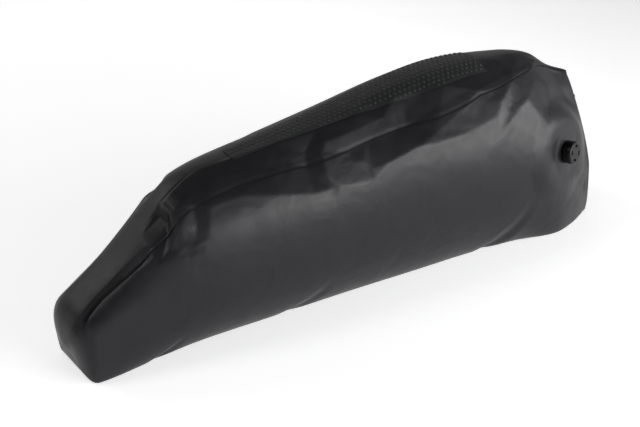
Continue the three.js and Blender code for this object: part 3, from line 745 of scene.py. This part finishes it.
def dome_rows(name, along, around, reach):
    """Raised dots: each is a closed dome, a profile of five places from the middle of its foot to its top,
    turned about the skin's normal."""
    centres, normals = on_skin(along, around, reach)
    sideways = unit(np.cross(normals, np.array([0.0, 0.0, 1.0]) + 0 * normals))
    other = np.cross(normals, sideways)
    turn = np.arange(DOT_SIDES) * 2 * math.pi / DOT_SIDES
    radii = np.array([0.0, 1.0, 0.92, 0.55, 0.0]) * DOT_RADIUS
    rises = np.array([-0.3, -0.3, 0.55, 0.92, 1.0]) * DOT_HEIGHT
    ring = sideways[:, None] * np.cos(turn)[None, :, None] + other[:, None] * np.sin(turn)[None, :, None]
    points = (
        centres[:, None, None]
        + ring[:, None] * radii[None, :, None, None]
        + (normals[:, None] * rises[None, :, None])[:, :, None]
    )
    count = len(centres)
    levels = len(radii)
    number = np.arange(count * levels * DOT_SIDES).reshape(count, levels, DOT_SIDES)
    number[:, 0] = number[:, 0, :1]
    number[:, -1] = number[:, -1, :1]
    after = np.roll(number, -1, axis=2)
    faces = np.stack([number[:, :-1], after[:, :-1], after[:, 1:], number[:, 1:]], axis=-1).reshape(-1, 4)
    flat = np.repeat(np.stack([along * LENGTH, around * AROUND_LENGTH], axis=-1), levels * DOT_SIDES, axis=0)
    return piece_mesh(name, points.reshape(-1, 3), faces, flat, crisp=80)


# Rows of dots run along the strip, each a true distance from the crown, and every other row is moved half a
# pitch. The row on the crown itself is made once, with the near side.
run = np.arange(GRIP_START + END_MARGIN, GRIP_START + GRIP_RUN - END_MARGIN, DOT_PITCH)
dot_along = []
dot_around = []
for side, first_row in ((1, 0), (-1, 1)):
    columns = np.flatnonzero(side * COLUMNS >= GRIP)[::side]
    for row in range(first_row, DOT_ROWS):
        shifted = (run + DOT_PITCH / 2 * (row % 2)) / LENGTH
        rows = np.searchsorted(ROWS, shifted)
        steps = np.linalg.norm(np.diff(SKIN[rows][:, columns[::-1]], axis=1), axis=2)
        arcs = np.concatenate([np.zeros((len(rows), 1)), np.cumsum(steps, axis=1)], axis=1)
        fits = arcs[:, -1] > row * ROW_PITCH + SIDE_MARGIN
        places = [np.interp(row * ROW_PITCH, arc, COLUMNS[columns[::-1]] * side) for arc in arcs[fits]]
        dot_along.append(shifted[fits])
        dot_around.append(side * np.array(places))
grip_dots = dome_rows("grip_dots", np.concatenate(dot_along), np.concatenate(dot_around), GRIP_FACE)


# Rubber, cast as a film or printed in dots: it looks dull and dry, finely speckled, with patches that straps
# have rubbed. The dots are smoother than the film, so that each catches a small light.
SPECKLE = 1.111
SPECKLE_DEPTH = 0.12
RUBBED_PATCH = 22.22


def printed_rubber(name, colour, tint, roughness):
    """The strip's material. Fine noise gives the speckle, and wide noise the rubbed patches."""
    material = new_material(name)
    place = add_node(material, "ShaderNodeTexCoord").outputs["Object"]
    speckle = add_node(material, "ShaderNodeTexNoise", {
        "Scale": 1000 / SPECKLE, "Detail": 3.0,
    }, Vector=place).outputs["Fac"]
    rubbed = add_node(material, "ShaderNodeTexNoise", {
        "Scale": 1000 / RUBBED_PATCH, "Detail": 3.0,
    }, Vector=place).outputs["Fac"]
    shade = add_node(material, "ShaderNodeMix", {
        "data_type": "RGBA", 6: linear(colour), 7: linear(tint),
    }, Factor=rubbed).outputs[2]
    shine = add_node(material, "ShaderNodeMapRange", {
        "From Min": NOISE_LOW, "From Max": NOISE_HIGH, "To Min": roughness - 0.05, "To Max": roughness + 0.05,
    }, Value=rubbed).outputs[0]
    grain = add_node(material, "ShaderNodeBump", {
        "Strength": 0.6, "Distance": SPECKLE_DEPTH / 1000,
    }, Height=speckle).outputs[0]
    shader = add_node(material, "ShaderNodeBsdfPrincipled", {
        "Specular IOR Level": 0.28,
    }, Base_Color=shade, Roughness=shine, Normal=grain)
    add_node(material, "ShaderNodeOutputMaterial", Surface=shader.outputs[0])
    return material


grip_film.data.materials.append(printed_rubber("rubber film", "#161717", "#1d1e1e", 0.56))
grip_dots.data.materials.append(printed_rubber("printed rubber dots", "#1e1f1f", "#262727", 0.42))
for piece in (grip_film, grip_dots):
    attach(piece, "bag")
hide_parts("grip_strip")

# Rolled mouth: the flattened mouth of the bag rolled up on itself to shut it, so one band of doubled cloth
# winds inwards in a flat coil. It stands against the rear face, and its free edge lies on its outer flat.
ROLL_LENGTH = 96
ROLL_WIDTH = 27
ROLL_THICKNESS = 8
ROLL_HEIGHT = 62
ROLL_OFFSET = 10
ROLL_BAND = 1.25
ROLL_PITCH = 1.42
ROLL_HALF_TURNS = 5
ROLL_SWELL = 0.25
ROLL_HEM = 4
FREE_EDGE = -0.4
ROLL_EDGE = 0.3
BEND_STEPS = 14
ROLL_STEPS = 190
RISE_STEPS = 26


def coil_path():
    """Middle line of the rolled band, from its free edge on the outer flat inwards: half circles about the
    two ends of a flat, joined by straights. The radius shrinks evenly, by one pitch a turn. The directions
    that face outwards along it are given too."""
    first_radius = (ROLL_THICKNESS - ROLL_BAND) / 2
    flat_half = (ROLL_WIDTH - ROLL_THICKNESS) / 2
    turns = np.arange(ROLL_HALF_TURNS)[:, None]
    bend = np.linspace(0, math.pi, BEND_STEPS)[None]
    angle = turns * math.pi + bend
    end = np.where(turns % 2 == 0, flat_half, -flat_half) + 0 * bend
    angle = angle.ravel()
    end = end.ravel()
    radius = first_radius - ROLL_PITCH * angle / (2 * math.pi)
    outward = np.stack([np.cos(angle), np.sin(angle)], axis=-1)
    path = outward * radius[:, None] + np.stack([0 * end, end], axis=-1)
    start = np.array([[first_radius, FREE_EDGE * flat_half]])
    return np.r_[start, path], np.r_[outward[:1], outward]


def rolled_band(name):
    """The band as a sweep: at each place of the coil a ring runs up its outer face, over the top, down its
    inner face and under. The faces swell a little, by the product of two slanting sine waves that fades
    towards the hem, the ends and the middle of the coil. Both ends of the sweep close to a line."""
    path, outward = coil_path()
    steps = np.r_[0, np.cumsum(np.linalg.norm(np.diff(path, axis=0), axis=1))]
    even = np.linspace(0, steps[-1], ROLL_STEPS)
    path = np.stack([np.interp(even, steps, path[:, at]) for at in (0, 1)], axis=-1)
    outward = unit(np.stack([np.interp(even, steps, outward[:, at]) for at in (0, 1)], axis=-1))
    up = np.sin(np.linspace(-math.pi / 2, math.pi / 2, RISE_STEPS)) * (ROLL_LENGTH / 2 - ROLL_EDGE)
    heights = np.r_[up, ROLL_LENGTH / 2, up[::-1], -ROLL_LENGTH / 2]
    faces_out = np.r_[np.ones(RISE_STEPS), 0, -np.ones(RISE_STEPS), 0] * ROLL_BAND / 2
    wound, tall = np.meshgrid(even, heights, indexing="ij")
    waves = np.sin(0.21 * tall + 0.17 * wound) * np.sin(0.11 * tall - 0.33 * wound)
    inwards = (1 - even / even[-1]) * smooth(even / ROLL_HEM)
    swell = ROLL_SWELL * waves * np.cos(heights * math.pi / ROLL_LENGTH) * inwards[:, None]
    closing = np.ones(len(even))
    closing[[0, -1]] = 0
    reach = faces_out * closing[:, None] + swell - ROLL_SWELL
    across = path[:, None] + outward[:, None] * reach[..., None]
    lean = math.atan(REAR_SLOPE)
    out = CLEARANCE + ROLL_THICKNESS / 2 + across[..., 0]
    points = np.stack([
        LENGTH / 2 + MOUTH_REACH - REAR_SLOPE * ROLL_HEIGHT + out * math.cos(lean) - tall * math.sin(lean),
        ROLL_OFFSET + across[..., 1],
        ROLL_HEIGHT + out * math.sin(lean) + tall * math.cos(lean),
    ], axis=-1)
    rows, columns = points.shape[:2]
    number = np.arange(rows * columns).reshape(rows, columns)
    number[[0, -1], columns // 2:] = number[[0, -1], :columns // 2][:, ::-1]
    turned = np.roll(number, -1, axis=1)
    quads = np.stack([number[:-1], number[1:], turned[1:], turned[:-1]], axis=-1).reshape(-1, 4)
    flat = np.stack([wound, tall], axis=-1).reshape(-1, 2)
    return piece_mesh(name, points.reshape(-1, 3), quads, flat, crisp=60)


mouth_roll = rolled_band("rolled_mouth")
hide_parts("mouth_roll")
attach(mouth_roll, "bag")
mouth_roll.data.materials.append(coated_nylon("coated nylon, rolled mouth", "#131215", "#17171a", 0.44))

# Valve base: moulded in thermoplastic polyurethane, welded under the cloth by its flange. It stays as the
# frame has it: its flange is out of sight under the cloth, and its neck and stem inside the cap. Moulded
# plastic looks even and smooth, with the fine grain of its mould and faint patches where it flowed.
FLOW_PATCH = 4.545
GRAIN_DEPTH = 0.04


def moulded_plastic(name, colour, tint, roughness, grain):
    """Moulded black plastic. Wide noise gives the patches of tint and gloss, and fine noise, of the given
    grain in millimetres, the surface of the mould."""
    material = new_material(name)
    place = add_node(material, "ShaderNodeTexCoord").outputs["Object"]
    patches = add_node(material, "ShaderNodeTexNoise", {
        "Scale": 1000 / FLOW_PATCH, "Detail": 3.0,
    }, Vector=place).outputs["Fac"]
    grit = add_node(material, "ShaderNodeTexNoise", {
        "Scale": 1000 / grain, "Detail": 2.0,
    }, Vector=place).outputs["Fac"]
    shade = add_node(material, "ShaderNodeMix", {
        "data_type": "RGBA", 6: linear(colour), 7: linear(tint),
    }, Factor=patches).outputs[2]
    shine = add_node(material, "ShaderNodeMapRange", {
        "From Min": NOISE_LOW, "From Max": NOISE_HIGH, "To Min": roughness - 0.03, "To Max": roughness + 0.05,
    }, Value=patches).outputs[0]
    bump = add_node(material, "ShaderNodeBump", {
        "Strength": 0.5, "Distance": GRAIN_DEPTH / 1000,
    }, Height=grit).outputs[0]
    shader = add_node(material, "ShaderNodeBsdfPrincipled", {
        "Specular IOR Level": 0.2,
    }, Base_Color=shade, Roughness=shine, Normal=bump)
    add_node(material, "ShaderNodeOutputMaterial", Surface=shader.outputs[0])
    return material


valve_base = frame["nodes"]["valve_base"]
valve_base.data.materials.clear()
valve_base.data.materials.append(
    moulded_plastic("moulded polyurethane, satin", "#0e0e10", "#131315", roughness=0.45, grain=0.7)
)

# Valve cap: a turned knob moulded in glossy black nylon, screwed over the valve's stem. Four short slots in
# its face let air out, its rim is rounded, and a fine groove runs round its wall.
CAP_RADIUS = 10.7
CAP_FLOOR = 0.6
CAP_TOP = 9.8
CAP_EDGE = 1.2
STEM_SOCKET = 3.8
SOCKET_STEP = 2.7
SOCKET_TOP = 6.3
SLOT_HALF_LENGTH = 2.2
SLOT_HALF_WIDTH = 0.95
SLOT_DEPTH = 1.6
SLOT_RADIUS = 6.6
SLOT_WALL = 0.3
SLOT_ZONE = 1.2
GROOVE_HEIGHT = 4.0
GROOVE_DEPTH = 0.35
CAP_SPOKES = 160


def cap_profile():
    """Radius and height from the middle of the face, over the rounded rim, down the wall with its groove, and
    in through the stepped socket to the axis. The places lie closest where the slots are."""
    slots_from = SLOT_RADIUS - SLOT_ZONE
    slots_to = SLOT_RADIUS + SLOT_ZONE
    face = np.r_[
        evenly(0, slots_from, 6), evenly(slots_from, slots_to, 14), evenly(slots_to, CAP_RADIUS - CAP_EDGE, 4)
    ]
    turn = np.linspace(0, math.pi / 2, 7)
    rim = np.stack([
        CAP_RADIUS - CAP_EDGE + CAP_EDGE * np.sin(turn),
        CAP_TOP - CAP_EDGE + CAP_EDGE * np.cos(turn),
    ], axis=-1)
    groove = CAP_RADIUS - GROOVE_DEPTH
    wall = [
        (CAP_RADIUS, GROOVE_HEIGHT + 1.4), (CAP_RADIUS, GROOVE_HEIGHT + 0.4), (groove, GROOVE_HEIGHT + 0.2),
        (groove, GROOVE_HEIGHT - 0.2), (CAP_RADIUS, GROOVE_HEIGHT - 0.4), (CAP_RADIUS, CAP_FLOOR + 0.4),
        (CAP_RADIUS - 0.12, CAP_FLOOR + 0.12), (CAP_RADIUS - 0.4, CAP_FLOOR),
    ]
    socket = [
        (hole_radius, CAP_FLOOR), (hole_radius, SOCKET_STEP), (STEM_SOCKET, SOCKET_STEP),
        (STEM_SOCKET, SOCKET_TOP), (0, SOCKET_TOP),
    ]
    return np.r_[np.stack([face, CAP_TOP + 0 * face], axis=-1), rim, wall, socket]


def turned_cap(name):
    """The profile turned about the valve's axis. In the face each slot is a rounded oblong across the spoke,
    let in with steep walls. The axis is brought from straight up by the shortest turn."""
    profile = cap_profile()
    spokes = np.arange(CAP_SPOKES) * 2 * math.pi / CAP_SPOKES
    radius = profile[:, :1]
    height = profile[:, 1:] + 0 * spokes
    quarter = (spokes + math.pi / 4) % (math.pi / 2) - math.pi / 4
    along_slot = np.maximum(0, np.abs(radius * np.sin(quarter)) - SLOT_HALF_LENGTH + SLOT_HALF_WIDTH)
    inside = SLOT_HALF_WIDTH - np.hypot(along_slot, radius * np.cos(quarter) - SLOT_RADIUS)
    on_face = profile[:, 1:] > CAP_TOP - 1e-6
    height = height - np.where(on_face, SLOT_DEPTH * smooth(inside / SLOT_WALL + 0.5), 0)
    local = np.stack([radius * np.cos(spokes), radius * np.sin(spokes), height], axis=-1)
    x, y, z = VALVE_AXIS
    cross = np.array([[0, 0, x], [0, 0, y], [-x, -y, 0]])
    shortest_turn = np.eye(3) + cross + cross @ cross / (1 + z)
    points = VALVE_SEAT + local @ shortest_turn.T
    number = np.arange(points.shape[0] * CAP_SPOKES).reshape(points.shape[:2])
    number[[0, -1]] = number[[0, -1], :1]
    after = np.roll(number, -1, axis=1)
    quads = np.stack([number[:-1], number[1:], after[1:], after[:-1]], axis=-1).reshape(-1, 4)
    flat = np.stack([radius + 0 * spokes, height], axis=-1).reshape(-1, 2)
    return piece_mesh(name, points.reshape(-1, 3), quads, flat, crisp=35)


valve_cap = turned_cap("cap_turned")
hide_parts("valve_cap")
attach(valve_cap, "cap")
valve_cap.data.materials.append(
    moulded_plastic("moulded nylon, glossy", "#08080a", "#0b0b0c", roughness=0.28, grain=0.5)
)

# Floor: a sheet of white acrylic whose emission is a painted glow, standing in for a light from below as
# under a product photograph, so that the ground stays white and the shadow on it soft. The painted glow is
# full under the bag and fades outwards in ovals, between two multiples of half sizes that are in metres.
FLOOR_SIZE = 8.0
PAINTED_FLOOR_GLOW = 0.5
PAINTED_FAR_GLOW = 0.05
GLOW_HALF_LENGTH = 0.42
GLOW_HALF_WIDTH = 0.75
FADE_START = 0.9
FADE_END = 2.2
floor_mesh = bpy.data.meshes.new("floor")
half = FLOOR_SIZE / 2
floor_corners = [(-half, -half, 0), (half, -half, 0), (half, half, 0), (-half, half, 0)]
floor_mesh.from_pydata(floor_corners, [], [(0, 1, 2, 3)])
floor = bpy.data.objects.new("floor", floor_mesh)
bpy.context.collection.objects.link(floor)
acrylic = new_material("white acrylic")
place = add_node(acrylic, "ShaderNodeTexCoord").outputs["Object"]
spread = add_node(acrylic, "ShaderNodeMapping", {
    "Scale": (1 / GLOW_HALF_LENGTH, 1 / GLOW_HALF_WIDTH, 1),
}, Vector=place).outputs[0]
away = add_node(acrylic, "ShaderNodeVectorMath", {"operation": "LENGTH"}, _0=spread).outputs["Value"]
# Painted glow: the floor's emission, strongest under the bag, so that it lightens the bag's shadow there.
glow = add_node(acrylic, "ShaderNodeMapRange", {
    "From Min": FADE_START, "From Max": FADE_END, "To Min": PAINTED_FLOOR_GLOW, "To Max": PAINTED_FAR_GLOW,
}, Value=away).outputs[0]
shader = add_node(acrylic, "ShaderNodeBsdfPrincipled", {
    "Base Color": linear("#eeeeee"), "Roughness": 0.8, "Specular IOR Level": 0.2,
    "Emission Color": (1, 1, 1, 1),
}, Emission_Strength=glow)
add_node(acrylic, "ShaderNodeOutputMaterial", Surface=shader.outputs[0])
floor_mesh.materials.append(acrylic)

# Camera: at the photograph's angle to the bag, turned 33 degrees towards the nose from straight on to the
# near side, and 31 degrees up. Its target on the floor, its distance and its lens frame the bag as there.
CAMERA_AZIMUTH = math.radians(33)
CAMERA_HEIGHT = math.radians(31)
CAMERA_DISTANCE = 1.785
CAMERA_TARGET = Vector((0.04485, 0.10131, 0))
CAMERA_SENSOR = 36
CAMERA_LENS = 103.37
forward = Vector((
    math.sin(CAMERA_AZIMUTH) * math.cos(CAMERA_HEIGHT),
    math.cos(CAMERA_AZIMUTH) * math.cos(CAMERA_HEIGHT),
    -math.sin(CAMERA_HEIGHT),
))
camera_data = bpy.data.cameras.new("camera")
camera_data.sensor_width = CAMERA_SENSOR
camera_data.lens = CAMERA_LENS
camera = bpy.data.objects.new("camera", camera_data)
camera.location = CAMERA_TARGET - CAMERA_DISTANCE * forward
camera.rotation_mode = "QUATERNION"
camera.rotation_quaternion = forward.to_track_quat("-Z", "Y")
bpy.context.collection.objects.link(camera)
bpy.context.scene.camera = camera

# Lights: the soft boxes of a product studio. The wide one at the front right gives the sides their long
# sheen, the two on the left shape the knob and the nose, and the two behind edge the crown.


def softbox(name, place, aim, size, power):
    """An oblong area light at place that faces aim, in metres, with its power in watts."""
    light = bpy.data.lights.new(name, "AREA")
    light.shape = "RECTANGLE"
    light.size, light.size_y = size
    light.energy = power
    lamp = bpy.data.objects.new(name, light)
    lamp.location = place
    lamp.rotation_mode = "QUATERNION"
    lamp.rotation_quaternion = (Vector(aim) - Vector(place)).to_track_quat("-Z", "Y")
    bpy.context.collection.objects.link(lamp)


softbox("wide softbox, front right", (1.15, -1.60, 0.42), (0, 0, 0.10), (2.4, 0.7), 62)
softbox("small softbox, over the left", (-1.35, 0.35, 1.65), (-0.2, 0, 0.1), (0.6, 0.5), 7)
softbox("softbox, low on the left", (-1.6, -1.1, 0.5), (-0.25, 0, 0.05), (0.6, 0.5), 3)
softbox("softbox, behind the left", (-1.3, 1.9, 1.5), (0, 0, 0.15), (1.2, 0.8), 11)
softbox("long softbox, behind and above", (0.9, 1.95, 1.45), (0, 0, 0.15), (2.0, 0.6), 3.5)

# Walls of the studio: pale and plain, lit near the floor and darker overhead, so that the cloth mirrors a
# soft glow low down and its upper faces stay black. OVERHEAD is the rise at which they are darkest.
HORIZON = 0.70
ZENITH = 0.12
OVERHEAD = 0.7
world = bpy.data.worlds.new("studio")
world.use_nodes = True
world.node_tree.nodes.clear()
look = add_node(world, "ShaderNodeTexCoord").outputs["Generated"]
rise = add_node(world, "ShaderNodeSeparateXYZ", _0=look).outputs["Z"]
shade = add_node(world, "ShaderNodeMapRange", {
    "From Min": 0.0, "From Max": OVERHEAD, "To Min": HORIZON, "To Max": ZENITH,
}, _0=rise).outputs[0]
sky = add_node(world, "ShaderNodeBackground", {"Color": (1, 1, 1, 1)}, Strength=shade)
add_node(world, "ShaderNodeOutputWorld", Surface=sky.outputs[0])
bpy.context.scene.world = world
bpy.context.scene.view_settings.view_transform = "Standard"
